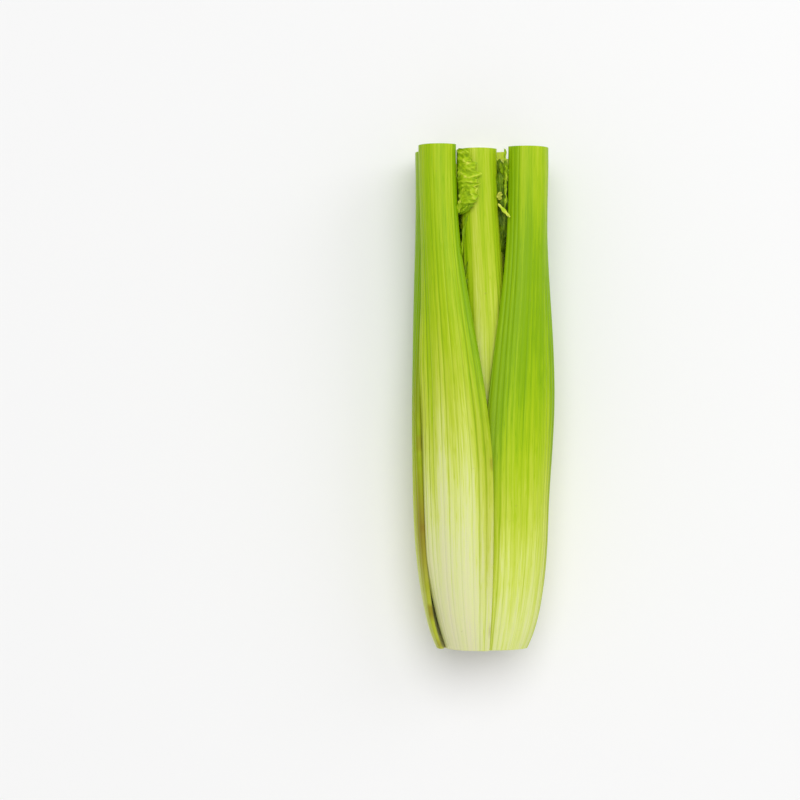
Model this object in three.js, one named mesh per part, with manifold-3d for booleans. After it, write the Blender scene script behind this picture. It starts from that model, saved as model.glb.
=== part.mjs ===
// A head of celery, trimmed as a heart, lying on its side.
// Five broad ribbed stalks and five inner ones stand in two rings round a short crown, with four young
// leafy shoots inside them.
// Millimetres. +Y runs from the cut butt to the cut tops, +Z is up, and the origin is the middle of
// the flat spot that the lowest stalk rests on.
import * as THREE from 'three';
import { mergeVertices } from 'three/addons/utils/BufferGeometryUtils.js';
import Module from 'manifold-3d';

// Driving dimensions.
const LENGTH = 228; // from the butt to the tops
const HALF_WIDTH = 31; // of the bunch, across
const HALF_DEPTH = 24.5; // of the bunch, front to back
const AXIS_HEIGHT = 23.4; // of the bunch's axis over the surface it lies on
const BUTT_SHARE = 0.64; // the butt's size as a share of the bunch's
const FLARE = 24; // the height over which the butt swells
const PINWHEEL = 9; // degrees by which each stalk laps over the next one at its foot
const CLOSES = 2.7; // degrees by which they lap less round the belly, where they lie closer
const OPENS = 60; // the height at which the stalks start to leave the ring
const NARROWS = [80, 205]; // the heights between which they narrow
const UNLAPS = [104, 214]; // and between which they stop lapping
const CROWN = { foot: 17, top: 16.6, height: 14 };
const GAP = 0.3; // between pieces that touch

const TOP_CURVE = 0.525; // the outer face's radius at the top, as a share of its width
const RIB_HEIGHT = 0.6;
const MARGIN_SHARE = 0.42; // the wall at a stalk's margins, as a share of its middle
const EDGE_ROUND = 0.35; // how far a margin bulges, as a share of its wall
const BLADE = 0.7; // the thickness of a leaf

const wasm = await Module();
wasm.setup();

const radians = THREE.MathUtils.degToRad;
const mix = THREE.MathUtils.lerp;
const ease = (low, high, y) => THREE.MathUtils.smoothstep(y, low, high);
const vector = (x, y, z) => new THREE.Vector3(x, y, z);
// The bunch's size at a height, as a share of its full size.
const swell = (y) => 1 - (1 - BUTT_SHARE) * Math.exp(-y / FLARE);

// The stalks. around is the foot's place on the ring in degrees, with 90 at the front, and share is
// the ring's size. end is the height of the cut. top is where the outer face stands there: its x and z
// from the bunch's axis, the way that it faces, and its width. opens is the height at which the stalk
// starts to leave the ring, where that isn't the common one.
const OUTER = { share: 1, foot: 0, width: 37.5, curve: 27, wall: 5.6, ribs: 10, stations: 12 };
const ON_CROWN = CROWN.height + GAP;
const INNER = { share: 0.66, foot: ON_CROWN, width: 23, curve: 17, wall: 4.6, ribs: 7, stations: 11 };
const STALKS = [
  {
    name: 'stalk_front_left', ...OUTER, around: 120, end: 228,
    top: { x: -22.7, z: 19, facing: 110, width: 18 },
  },
  {
    name: 'stalk_front_right', ...OUTER, around: 48, end: 227,
    top: { x: 23.6, z: 18.3, facing: 67, width: 20 },
  },
  {
    name: 'stalk_right', ...OUTER, around: -24, end: 226,
    top: { x: 29.8, z: -7, facing: -20, width: 20.5 },
  },
  {
    name: 'stalk_back', ...OUTER, around: -96, end: 228,
    top: { x: 1, z: -24, facing: -92, width: 21.5 },
  },
  {
    name: 'stalk_left', ...OUTER, around: -168, end: 226.5,
    top: { x: -29.8, z: -9, facing: -164, width: 20.5 },
  },
  {
    name: 'inner_stalk_front', ...INNER, around: 84, opens: 125, end: 226,
    top: { x: -1.9, z: 20.4, facing: 90, width: 16.5 },
  },
  {
    name: 'inner_stalk_right', ...INNER, around: 12, end: 223,
    top: { x: 20.4, z: 8, facing: 24, width: 15 },
  },
  {
    name: 'inner_stalk_back_right', ...INNER, around: -60, end: 224,
    top: { x: 15, z: -12.2, facing: -44, width: 13.5 },
  },
  {
    name: 'inner_stalk_back_left', ...INNER, around: -132, end: 222,
    top: { x: -16, z: -11.5, facing: -142, width: 13.3 },
  },
  {
    name: 'inner_stalk_left', ...INNER, around: 156, end: 224,
    top: { x: -21.2, z: 8, facing: 158, width: 14.5 },
  },
];

// Where a stalk stands at a height: its outer face's middle, the way it faces, its section's size, and
// how far that section is flattened. The ring is laid out round and flattened, and the tops are not.
function placeOf(stalk, y) {
  const ring = swell(y) * stalk.share;
  const theta = radians(stalk.around);
  const leaving = ease(stalk.opens ?? OPENS, LENGTH, y);
  const narrowing = ease(...NARROWS, y);
  const closed = CLOSES * ease(2, 28, y) * (1 - ease(60, 118, y));
  const lap = radians(PINWHEEL - closed) * (1 - ease(...UNLAPS, y));
  return {
    x: mix(ring * HALF_WIDTH * Math.cos(theta), stalk.top.x, leaving),
    z: mix(ring * HALF_DEPTH * Math.sin(theta), stalk.top.z, leaving),
    facing: mix(theta, radians(stalk.top.facing), leaving) + lap,
    flatness: mix(HALF_DEPTH / HALF_WIDTH, 1, leaving),
    width: mix(stalk.width * swell(y), stalk.top.width, narrowing),
    curve: mix(stalk.curve * swell(y), stalk.top.width * TOP_CURVE, narrowing),
    wall: stalk.wall * mix(0.8, 1, ease(0, 40, y)),
  };
}

// One station of a stalk: a crescent, ribbed outside, hollow inside, and thinner at its two margins.
// room is how much larger it is all round, for what is cut away to clear it.
function sectionOf(stalk, y, room = 0) {
  const at = placeOf(stalk, y);
  const reach = Math.asin(at.width / 2 / at.curve) + room / at.curve;
  const points = [];
  const put = (phi, depth) => {
    const across = (at.curve - depth) * Math.sin(phi);
    const out = (at.curve - depth) * Math.cos(phi) - at.curve;
    const x = at.x + across * Math.sin(at.facing) + out * Math.cos(at.facing);
    const z = at.z + (out * Math.sin(at.facing) - across * Math.cos(at.facing)) * at.flatness;
    points.push(vector(x, y, Math.max(z, -AXIS_HEIGHT)));
  };
  const wallAt = (share) => at.wall * (1 - (1 - MARGIN_SHARE) * Math.abs(share) ** 2.5);
  const outerSteps = stalk.ribs * 2;
  const innerSteps = stalk.ribs - 3;
  const bulge = Math.asin((EDGE_ROUND * wallAt(1)) / at.curve);
  for (let i = 0; i <= outerSteps; i++) {
    const share = (2 * i) / outerSteps - 1;
    put(reach * share, (i % 2 ? -RIB_HEIGHT : 0) - room);
  }
  put(reach + bulge, wallAt(1) / 2);
  for (let i = innerSteps; i >= 0; i--) {
    const share = (2 * i) / innerSteps - 1;
    put(reach * share, wallAt(share) + room * 1.3);
  }
  put(-reach - bulge, wallAt(1) / 2);
  return points;
}

// A closed skin over rings of equally many points, each ring at its own height, lowest first.
function skin(rings) {
  const count = rings[0].length;
  const positions = rings.flat().flatMap((p) => p.toArray());
  const faces = [];
  for (let r = 0; r + 1 < rings.length; r++) {
    for (let i = 0; i < count; i++) {
      const next = (i + 1) % count;
      const [a, b, c, d] = [r * count + i, r * count + next, (r + 1) * count + i, (r + 1) * count + next];
      faces.push(a, b, d, a, d, c);
    }
  }
  const cap = (ring, up) => {
    const outline = rings[ring].map((p) => new THREE.Vector2(p.x, p.z));
    for (const face of THREE.ShapeUtils.triangulateShape(outline, [])) {
      const facesUp = THREE.ShapeUtils.area(face.map((i) => outline[i])) < 0;
      const turned = facesUp === up ? face : face.toReversed();
      faces.push(...turned.map((i) => ring * count + i));
    }
  };
  cap(0, false);
  cap(rings.length - 1, true);
  return meshOf(positions, faces);
}

function meshOf(positions, faces) {
  const geometry = new THREE.BufferGeometry();
  geometry.setAttribute('position', new THREE.Float32BufferAttribute(positions, 3));
  geometry.setIndex(faces);
  return geometry;
}

// A stalk, from its foot or from a lower height, to its cut.
function stalkGeometry(stalk, room = 0, end = stalk.end) {
  const rings = [];
  for (let i = 0; i <= stalk.stations; i++) {
    const share = (i / stalk.stations) ** 1.35;
    rings.push(sectionOf(stalk, mix(stalk.foot - room, end + room, share), room));
  }
  return skin(rings);
}

const solidOf = (geometry) => {
  const bare = new THREE.BufferGeometry();
  bare.setAttribute('position', geometry.getAttribute('position'));
  bare.setIndex(geometry.getIndex());
  const merged = mergeVertices(bare, 1e-4);
  return new wasm.Manifold(
    new wasm.Mesh({
      numProp: 3,
      vertProperties: merged.getAttribute('position').array,
      triVerts: new Uint32Array(merged.getIndex().array),
    }),
  );
};

const geometryOf = (solid) => {
  const { vertProperties, triVerts } = solid.getMesh();
  return meshOf(vertProperties, [...triVerts]);
};

// The crown: a short plug that fills the feet of the outer stalks and carries the inner ones.
function crownGeometry() {
  const profile = [[0, 0], [CROWN.foot, 0], [CROWN.top, CROWN.height], [0, CROWN.height]];
  const plug = new THREE.LatheGeometry(profile.map(([r, y]) => new THREE.Vector2(r, y)), 32);
  plug.scale(1, 1, HALF_DEPTH / HALF_WIDTH);
  let solid = solidOf(plug);
  for (const stalk of STALKS.filter(({ foot }) => foot === 0)) {
    solid = solid.subtract(solidOf(stalkGeometry({ ...stalk, stations: 4 }, GAP * 1.4, 30)));
  }
  return geometryOf(solid);
}

// A slim round stem through points that rise along the bunch, with a radius at each.
function stemGeometry(points, radii) {
  const sides = 6;
  const ringAt = (p, i) => {
    const corners = [...Array(sides).keys()].map((k) => radians((-360 * k) / sides));
    return corners.map((a) => vector(p.x + radii[i] * Math.cos(a), p.y, p.z + radii[i] * Math.sin(a)));
  };
  return skin(points.map(ringAt));
}

// A leaflet: a thin crinkled blade. along is its midrib's direction, face the way its upper side faces.
// Its edge has three lobes, each with teeth, and it curls and cups towards its upper side.
function leafletGeometry({ root, along, face, length, width, curl, cup, crinkle, phase, columns = 2 }) {
  const steps = 9;
  const side = along.clone().cross(face).normalize();
  const up = side.clone().cross(along).normalize();
  const middle = (t, s) => {
    const lobes = 0.55 + 0.45 * Math.abs(Math.cos(Math.PI * 2.5 * t));
    const teeth = Math.round(t * steps) % 2 ? 1 : 0.82;
    const oval = Math.max(0, Math.sin(Math.PI * Math.max(0, t) ** 0.75)) ** 0.6;
    const half = Math.max(0.5, (width / 2) * oval * lobes * teeth);
    const forward = length * (t + 0.1 * Math.abs(s) * Math.sin(Math.PI * t));
    const ripple = crinkle * Math.abs(s) * Math.sin(t * 15 + 2.2 * Math.sign(s) + phase);
    const lift = curl * length * t * t + cup * half * s * s + ripple;
    const spine = root.clone().addScaledVector(along, forward).addScaledVector(up, lift);
    return spine.addScaledVector(side, s * half);
  };
  return slabGeometry(middle, steps, columns);
}

// A blade over a middle surface of t, from root to tip, and s, from -1 to 1 across.
function slabGeometry(middle, steps, columns) {
  const positions = [];
  const small = 1e-3;
  for (const level of [-1, 1]) {
    for (let i = 0; i <= steps; i++) {
      for (let j = 0; j <= columns; j++) {
        const t = i / steps;
        const s = (2 * j) / columns - 1;
        const down = middle(t + small, s).sub(middle(t - small, s));
        const over = middle(t, s + small).sub(middle(t, s - small));
        const normal = over.cross(down).normalize();
        positions.push(...middle(t, s).addScaledVector(normal, (level * BLADE) / 2).toArray());
      }
    }
  }
  return meshOf(positions, slabFaces(steps, columns));
}

// The faces of a slab: a grid of points below, the same grid above, and a rim between them.
function slabFaces(steps, columns) {
  const row = columns + 1;
  const layer = row * (steps + 1);
  const faces = [];
  for (let i = 0; i < steps; i++) {
    for (let j = 0; j < columns; j++) {
      const [a, b, c, d] = [i * row + j, i * row + j + 1, (i + 1) * row + j, (i + 1) * row + j + 1];
      faces.push(a, c, d, a, d, b);
      faces.push(layer + a, layer + d, layer + c, layer + a, layer + b, layer + d);
    }
  }
  const rim = [];
  for (let j = 0; j < columns; j++) rim.push(j);
  for (let i = 0; i < steps; i++) rim.push(i * row + columns);
  for (let j = columns; j > 0; j--) rim.push(steps * row + j);
  for (let i = steps; i > 0; i--) rim.push(i * row);
  rim.forEach((a, k) => {
    const b = rim[(k + 1) % rim.length];
    faces.push(a, b, layer + b, a, layer + b, layer + a);
  });
  return faces;
}

// The leafy shoots. around, top and the ring's share are as on the stalks, and end is where the slim
// stalk ends and its leaves begin. fold is the stalk whose left margin one of its leaflets folds over,
// with the degrees that it covers there.
const SHOOT = { share: 0.4, foot: ON_CROWN, width: 10.5, curve: 7, wall: 3.8, ribs: 4, stations: 7 };
const SHOOTS = [
  {
    name: 'leafy_shoot_front_left', ...SHOOT, around: 128, end: 176,
    top: { x: -8.5, z: 10.5, facing: 130, width: 8.5 }, fold: { over: 'inner_stalk_front', degrees: 82 },
  },
  {
    name: 'leafy_shoot_front_right', ...SHOOT, around: 38, end: 180,
    top: { x: 8.2, z: 10.4, facing: 52, width: 8.5 }, fold: { over: 'stalk_front_right', degrees: 12 },
  },
  {
    name: 'leafy_shoot_back_right', ...SHOOT, around: -48, end: 172,
    top: { x: 7, z: -7.5, facing: -48, width: 8.5 },
  },
  {
    name: 'leafy_shoot_back_left', ...SHOOT, around: -138, end: 168,
    top: { x: -7, z: -7.5, facing: -138, width: 8.5 },
  },
];
const LEAF_TOP = 222; // the height that the leaves reach
const FOLD = { foot: 194, length: 29, depth: 4.7, clear: 1.4, inside: 0.4 };

// The middle of a leaflet that comes up through the gap at a stalk's left margin and folds over it.
function foldedMiddle({ over, degrees }) {
  const stalk = STALKS.find(({ name }) => name === over);
  return (t, s) => {
    const y = FOLD.foot + FOLD.length * t;
    const at = placeOf(stalk, y);
    const bulge = Math.max(0, Math.sin(Math.PI * t)) ** 0.45;
    const tooth = Math.round(t * 10) % 2 ? 1 : 0.84;
    const u = (s + 1) / 2;
    const out = Math.max(0, (u - FOLD.inside) / (1 - FOLD.inside));
    const down = Math.max(0, 1 - u / FOLD.inside) * FOLD.depth * (0.45 + 0.55 * bulge);
    const edge = at.facing + Math.asin(at.width / 2 / at.curve) + radians(6);
    const angle = edge - radians(degrees) * out * (0.3 + 0.7 * bulge) * tooth;
    const radius = at.curve + FOLD.clear + 0.7 * out * Math.sin(13 * t + 3 * out) ** 2;
    const x = at.x + radius * Math.cos(angle) - at.curve * Math.cos(at.facing);
    const z = at.z + radius * Math.sin(angle) - at.curve * Math.sin(at.facing);
    return vector(x, y, z - down);
  };
}

// Seeded random numbers between 0 and 1.
function randomFrom(seed) {
  let state = seed;
  return () => {
    state = (state * 16807) % 2147483647;
    return state / 2147483647;
  };
}

// A shoot: a slim stalk, a stem that carries on from it, and leaflets round that, with one at the tip.
function shootGeometry(shoot, index) {
  const random = randomFrom(101 + 37 * index);
  const at = placeOf(shoot, shoot.end);
  const outward = vector(Math.cos(at.facing), 0, Math.sin(at.facing));
  const sideways = vector(-outward.z, 0, outward.x);
  const core = (rise) => vector(at.x, shoot.end + rise, at.z).addScaledVector(outward, -at.wall * 0.55);
  const pieces = [stalkGeometry(shoot)];
  pieces.push(stemGeometry([-8, 0, 12, 24].map(core), [1.4, 1.4, 1.1, 0.8]));
  const leaf = (rise, turn, lean, size) => {
    const away = sideways.clone().multiplyScalar(Math.sin(turn)).addScaledVector(outward, Math.cos(turn));
    const along = vector(0, Math.cos(lean), 0).addScaledVector(away, Math.sin(lean));
    const length = Math.min(size, LEAF_TOP - shoot.end - rise);
    const look = { width: 10, curl: 0.08, cup: -0.12, crinkle: 0.5, phase: random() * 6 };
    pieces.push(leafletGeometry({ root: core(rise), along, face: away, length, ...look }));
  };
  leaf(22, 0.3, 0.02, 24);
  leaf(2, -1.5, 0.12, 24);
  leaf(9, 1.6, 0.12, 26);
  if (shoot.fold) {
    const middle = foldedMiddle(shoot.fold);
    pieces.push(slabGeometry(middle, 10, 8));
    pieces.push(stemGeometry([core(4), middle(0.3, -1), middle(0.6, -1)], [0.9, 0.9, 0.8]));
  }
  return geometryOf(pieces.map(solidOf).reduce((sum, solid) => sum.add(solid)));
}

const material = (color, roughness) => new THREE.MeshStandardMaterial({ color, roughness, metalness: 0 });
const outerSkin = material('#a9c62f', 0.42);
const innerSkin = material('#c3d566', 0.45);
const leafGreen = material('#6f9420', 0.5);
const cutFlesh = material('#e4ddb4', 0.6);

const celery = new THREE.Group();
celery.position.set(0, -LENGTH / 2, AXIS_HEIGHT);

function add(name, geometry, finish) {
  const mesh = new THREE.Mesh(geometry, finish);
  mesh.name = name;
  celery.add(mesh);
}

for (const stalk of STALKS) add(stalk.name, stalkGeometry(stalk), stalk.share === 1 ? outerSkin : innerSkin);
add('crown', crownGeometry(), cutFlesh);
SHOOTS.forEach((shoot, index) => add(shoot.name, shootGeometry(shoot, index), leafGreen));

const root = new THREE.Group();
root.add(celery);
export default root;
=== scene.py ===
"""A head of celery, trimmed as a heart, lying on its side on a pale table and seen from straight above.

Every piece is a surface worked out with numpy. Lengths in the formulas are millimetres, measured from
the middle of the cut butt: x across, y up the head, z towards the viewer. They become metres in the
frame only when the mesh is made."""

import math

import bpy
import numpy as np
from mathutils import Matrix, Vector


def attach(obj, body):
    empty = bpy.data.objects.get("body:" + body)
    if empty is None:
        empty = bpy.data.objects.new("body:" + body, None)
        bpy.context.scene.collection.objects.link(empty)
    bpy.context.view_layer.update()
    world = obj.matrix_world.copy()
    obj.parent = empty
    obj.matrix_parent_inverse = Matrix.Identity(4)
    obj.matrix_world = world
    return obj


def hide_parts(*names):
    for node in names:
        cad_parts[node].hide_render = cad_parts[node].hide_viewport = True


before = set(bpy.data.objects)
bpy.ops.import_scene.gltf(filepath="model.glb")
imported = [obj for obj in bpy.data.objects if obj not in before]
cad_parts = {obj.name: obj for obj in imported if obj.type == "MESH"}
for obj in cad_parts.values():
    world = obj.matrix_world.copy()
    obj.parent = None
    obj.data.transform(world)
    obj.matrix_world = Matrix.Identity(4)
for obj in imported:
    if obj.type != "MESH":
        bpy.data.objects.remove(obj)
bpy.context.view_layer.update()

# The head's driving sizes, in millimetres: its length, its half width and half depth at the belly, and
# the height of its middle above the table.
LENGTH = 228.0
HALF_WIDTH = 31.0
HALF_DEPTH = 24.5
AXIS_HEIGHT = 23.4
METRES = 0.001
# The butt's size as a share of the belly's, and the height by which the head has done most of its
# swelling.
BUTT_SHARE = 0.64
FLARE = 24.0
# Each stalk laps over its neighbour: the degrees that it is turned for that, how many fewer they are
# where the head is tightly closed, and the heights over which it closes, loosens and stops lapping.
PINWHEEL = 9.0
CLOSES = 2.7
CLOSES_OVER = (2.0, 28.0)
LOOSENS_OVER = (60.0, 118.0)
UNLAPS = (104.0, 214.0)
# The height at which most stalks start to leave the ring, and the heights over which they narrow.
OPENS = 60.0
NARROWS = (80.0, 205.0)
# The crown: its radius below and above before it is flattened, its height, how far it stays clear of
# the outer stalks, and the height at which the other stalks stand on it.
CROWN_FOOT = 17.0
CROWN_TOP = 16.6
CROWN_HEIGHT = 14.0
CROWN_CLEAR = 0.12
ON_CROWN = 14.3
# A stalk's section: its radius as a share of its width at the top, its margins' thickness as a share of
# its middle's, the power by which it thins to them, how round they are, and the share of its wall that
# its foot has and the height by which it has all of it.
TOP_CURVE = 0.525
MARGIN_SHARE = 0.42
THINS_BY = 2.5
EDGE_ROUND = 0.35
FOOT_WALL = 0.8
FULL_WALL = 40.0
# The ribs: their height, how far they stray in ribs, and the heights over which they grow and fade.
RIB_HEIGHT = 0.36
RIB_WANDER = 0.22
RIBS_GROW = (10.0, 130.0)
RIBS_FADE = (130.0, 215.0)
# How far a stalk's faces bend to and fro, in mm, and the heights over which a turned-out margin turns
# and goes back.
SWERVE = 0.25
LIP_TURNS = (15.0, 45.0)
LIP_ENDS = (120.0, 165.0)
# How much greener a stalk's margins are, and its hollow side's green as a share of its outer face's.
MARGIN_FLUSH = 0.22
HOLLOW_GREEN = 0.72

# What the stalks of one kind share: their ring's share of the head's size, the height of their foot,
# their section's width, radius and wall at full size, their number of ribs, and the height at which
# they leave the ring. fades is how much of its green a stalk loses towards its top, tan_and_shade how
# browned its lower margins are, and on stalk_left also how much painted shade darkens them,
# flush_and_shade how much greener its left margin is, on stalk_front_right as painted shade, and lip
# how far that margin turns outwards round the belly, in mm, to close against the stalk beside it.
OUTER = dict(share=1.0, foot=0.0, width=37.5, curve=27.0, wall=5.6, ribs=14, opens=OPENS, fades=0.1,
             tan_and_shade=0.6, flush_and_shade=MARGIN_FLUSH, lip=0.0)
INNER = dict(share=0.66, foot=ON_CROWN, width=23.0, curve=17.0, wall=4.6, ribs=9, opens=OPENS, fades=0.0,
             tan_and_shade=0.2, flush_and_shade=MARGIN_FLUSH, lip=0.0)
SHOOT = dict(share=0.4, foot=ON_CROWN, width=10.5, curve=7.0, wall=3.8, ribs=5, opens=OPENS, fades=0.0,
             tan_and_shade=0.0, flush_and_shade=MARGIN_FLUSH, lip=0.0)
# Each stalk: its place round the ring in degrees, the height of its cut, and where its outer face stands
# there (x, z, the way that it faces and its width). pale is how green its foot is, gain how much greener
# it gets, and rise the height by which it has.
STALKS = {
    "stalk_front_left": dict(OUTER, around=120, end=228.0, top=(-22.7, 19.0, 110, 18.0),
                             pale=0.10, gain=0.76, rise=200, fades=0.06, flush_and_shade=0.04, lip=1.7),
    # stalk_front_right's left margin is much greener as painted shade, in the crease under
    # stalk_front_left, and its foot is less pale, partly as painted shade.
    "stalk_front_right": dict(OUTER, around=48, end=227.0, top=(23.6, 18.3, 67, 20.0),
                              pale=0.31, gain=0.71, rise=165, fades=0.22, flush_and_shade=0.36),
    "stalk_right": dict(OUTER, around=-24, end=226.0, top=(29.8, -7.0, -20, 20.5),
                        pale=0.22, gain=0.70, rise=190),
    "stalk_back": dict(OUTER, around=-96, end=228.0, top=(1.0, -24.0, -92, 21.5),
                       pale=0.08, gain=0.72, rise=210),
    # stalk_left's strong browning of its lower margins is partly real browning and partly painted shade.
    "stalk_left": dict(OUTER, around=-168, end=226.5, top=(-29.8, -9.0, -164, 20.5),
                       pale=0.30, gain=0.68, rise=180, tan_and_shade=2.5),
    "inner_stalk_front": dict(INNER, around=84, opens=125.0, end=226.0, top=(-1.9, 20.4, 90, 16.5),
                              pale=0.05, gain=0.66, rise=215),
    "inner_stalk_right": dict(INNER, around=12, end=223.0, top=(20.4, 8.0, 24, 15.0),
                              pale=0.05, gain=0.62, rise=215),
    "inner_stalk_back_right": dict(INNER, around=-60, end=224.0, top=(15.0, -12.2, -44, 13.5),
                                   pale=0.05, gain=0.60, rise=220),
    "inner_stalk_back_left": dict(INNER, around=-132, end=222.0, top=(-16.0, -11.5, -142, 13.3),
                                  pale=0.05, gain=0.64, rise=215),
    "inner_stalk_left": dict(INNER, around=156, end=224.0, top=(-21.2, 8.0, 158, 14.5),
                             pale=0.05, gain=0.60, rise=220),
}
# Each leafy shoot, in the same way. fold is the stalk whose left margin one of its leaflets folds over,
# with the degrees that it covers there.
SHOOTS = {
    "leafy_shoot_front_left": dict(SHOOT, around=128, end=176.0, top=(-8.5, 10.5, 130, 8.5),
                                   fold=("inner_stalk_front", 82)),
    "leafy_shoot_front_right": dict(SHOOT, around=38, end=180.0, top=(8.2, 10.4, 52, 8.5),
                                    fold=("stalk_front_right", 12)),
    "leafy_shoot_back_right": dict(SHOOT, around=-48, end=172.0, top=(7.0, -7.5, -48, 8.5)),
    "leafy_shoot_back_left": dict(SHOOT, around=-138, end=168.0, top=(-7.0, -7.5, -138, 8.5)),
}
# Small leaflets between the front stalks, on each of the two front shoots: the root's x, y and z, the
# length and width, how far it turns from upwards to the right, how far it rises, how far its face turns
# from the viewer to the right, all three in radians, and its tone from dark to bright. Low tones paint
# shade on the leaflets deep in the gaps, and the highest paint highlights on small lit tips.
SPRIGS = {
    "leafy_shoot_front_left": [
        (-10.9, 197.0, 15.4, 7.0, 2.6, 0.10, 0.55, 0.0, 0.75),
        (-10.6, 204.0, 16.6, 6.0, 2.4, 0.55, 0.60, 0.0, 0.86),
        (-10.9, 212.0, 15.6, 7.0, 2.6, 0.20, 0.50, 0.0, 0.70),
        (-9.0, 198.0, 17.9, 6.0, 2.2, 1.10, 0.42, 0.0, 0.74),
        (-10.3, 126.0, 13.6, 44.0, 9.0, -0.01, 0.01, 1.57, 0.25),
        (-9.9, 135.0, 13.8, 44.0, 9.0, -0.02, 0.01, 1.60, 0.30),
        (-10.4, 157.0, 15.0, 45.0, 7.8, 0.00, 0.01, 1.56, 0.55),
    ],
    "leafy_shoot_front_right": [
        (9.6, 186.0, 10.6, 20.0, 6.5, 0.02, 0.22, 0.0, 0.22),
        (8.6, 198.0, 12.6, 18.0, 5.5, -0.04, 0.20, -0.3, 0.32),
        (11.0, 195.0, 11.2, 17.0, 5.0, -0.03, 0.16, 0.2, 0.16),
        (7.9, 203.0, 15.4, 5.0, 3.4, -0.20, 0.80, 0.2, 1.30),
        (9.8, 211.0, 14.0, 10.0, 4.0, 0.10, 0.30, -0.4, 0.50),
        (6.9, 201.0, 17.6, 8.2, 1.9, 2.44, 0.12, 0.0, 0.95),
        (10.8, 213.0, 13.5, 8.0, 3.4, -0.50, 0.40, 0.6, 0.60),
        (10.2, 126.0, 12.2, 44.0, 8.6, 0.00, 0.01, 1.57, 0.25),
        (9.5, 135.0, 12.4, 44.0, 8.6, 0.01, 0.01, 1.52, 0.30),
        (10.0, 150.0, 12.8, 40.0, 8.6, 0.01, 0.01, 1.60, 0.35),
    ],
}
# The leaflets that every shoot has round its stem and, smaller, below its cut: how far above the cut
# each roots, how far round it turns, how far it leans outwards, both in radians, and its length.
STEM_LEAFLETS = ((22, 0.3, 0.02, 24), (2, -1.5, 0.12, 24), (9, 1.6, 0.12, 26))
LOW_LEAFLETS = ((-30, 1.1, 0.24, 24), (-18, -1.0, 0.24, 24), (-10, 0.2, 0.16, 20))
LOW_LEAFLET_WIDTH = 7.5
# The dark tones of the stem's leaflets and the low leaflets are painted shade, deep in the head.
STEM_LEAFLET_TONE = 0.35
LOW_LEAFLET_TONE = 0.25
SPRIG_CURL = 0.12
# A leaflet's full width and its number of teeth and of side veins, and the height that those round the
# stem end below.
LEAF_WIDTH = 10.0
LEAF_TEETH = 14
LEAF_VEINS = 7
LEAF_TOP = 222.0
# The folded leaflets: where they start, how long they are, how far they reach down inside the margin,
# how far they clear the stalk, the share of their width that stays inside, and their pleats.
FOLD_FOOT = 196.4
FOLD_LENGTH = 29.0
FOLD_DEPTH = 4.7
FOLD_CLEAR = 1.25
FOLD_INSIDE = 0.4
FOLD_PLEATS = 7
# How far apart the cut strings lie in a foot's section.
STRING_SPACING = 1.7
# The angle between two faces, in degrees, above which their edge is shaded sharp.
SHARP_ANGLE = 62
# The factor and the prime modulus of the leaflets' seeded numbers.
FACTOR = 16807
MODULUS = 2147483647
# The values that the points carry for the materials.
VALUES = ("green", "groove", "brown", "vein")


def ease(low, high, value):
    """A smooth step from 0 at low to 1 at high."""
    t = np.clip((value - low) / (high - low), 0, 1)
    return t * t * (3 - 2 * t)


def mix(a, b, share):
    return a + (b - a) * share


def swell(y):
    """The head's size at a height, as a share of its full size: it swells quickly above the butt."""
    return 1 - (1 - BUTT_SHARE) * np.exp(-y / FLARE)


def ripples(seed, count, along, across=(0.0, 0.0)):
    """A smooth random function of one or two numbers: a sum of count sine waves. along and across give
    the least and greatest frequency for each number. Its values stay between about -1 and 1."""
    draw = np.random.default_rng(seed)
    first = draw.uniform(*along, count)
    second = draw.uniform(*across, count) * draw.choice([-1.0, 1.0], count)
    phase = draw.uniform(0, 2 * math.pi, count)

    def at(a, b=0.0):
        total = 0.0
        for k in range(count):
            total = total + np.sin(first[k] * a + second[k] * b + phase[k])
        return total / math.sqrt(2 * count)

    return at


class Surface:
    """Points, four-cornered faces, the corners' UVs, each face's material, and values at the points."""

    def __init__(self, points, quads, uv, slots, values):
        self.points = np.asarray(points, float)
        self.quads = np.asarray(quads, int)
        self.uv = np.asarray(uv, float)
        self.slots = np.asarray(slots, int)
        self.values = values

    def outward(self):
        """Turns every face round if the closed surface's signed volume is negative."""
        a, b, c, d = (self.points[self.quads[:, k]] for k in range(4))
        volume = np.einsum("ij,ij->i", a, np.cross(b, c) + np.cross(c, d)).sum()
        if volume < 0:
            self.quads = self.quads[:, ::-1]
            self.uv = self.uv[:, ::-1]
        return self


def make_piece(name, surfaces, materials, node):
    """One object from several closed surfaces, in the place of a CAD node."""
    start = np.cumsum([0] + [len(s.points) for s in surfaces])
    points = np.concatenate([s.points for s in surfaces])
    quads = np.concatenate([s.quads + first for s, first in zip(surfaces, start)])
    uv = np.concatenate([s.uv for s in surfaces])
    slots = np.concatenate([s.slots for s in surfaces])
    points = points * METRES + np.array([0, -LENGTH / 2, AXIS_HEIGHT]) * METRES
    mesh = bpy.data.meshes.new(name)
    mesh.vertices.add(len(points))
    mesh.vertices.foreach_set("co", points.ravel())
    mesh.loops.add(quads.size)
    mesh.loops.foreach_set("vertex_index", quads.ravel())
    mesh.polygons.add(len(quads))
    mesh.polygons.foreach_set("loop_start", np.arange(0, quads.size, 4))
    mesh.polygons.foreach_set("material_index", slots)
    mesh.polygons.foreach_set("use_smooth", np.ones(len(quads), bool))
    mesh.uv_layers.new(name="surface").data.foreach_set("uv", uv.ravel())
    for value in VALUES:
        at_points = [s.values.get(value, np.zeros(len(s.points))) for s in surfaces]
        attribute = mesh.attributes.new(value, "FLOAT", "POINT")
        attribute.data.foreach_set("value", np.concatenate(at_points).astype(np.float32))
    mesh.update(calc_edges=True)
    mesh.validate()
    mesh.set_sharp_from_angle(angle=math.radians(SHARP_ANGLE))
    for material in materials:
        mesh.materials.append(material)
    piece = bpy.data.objects.new(name, mesh)
    bpy.context.scene.collection.objects.link(piece)
    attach(piece, "root")
    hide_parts(node)


# Stalks

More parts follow.
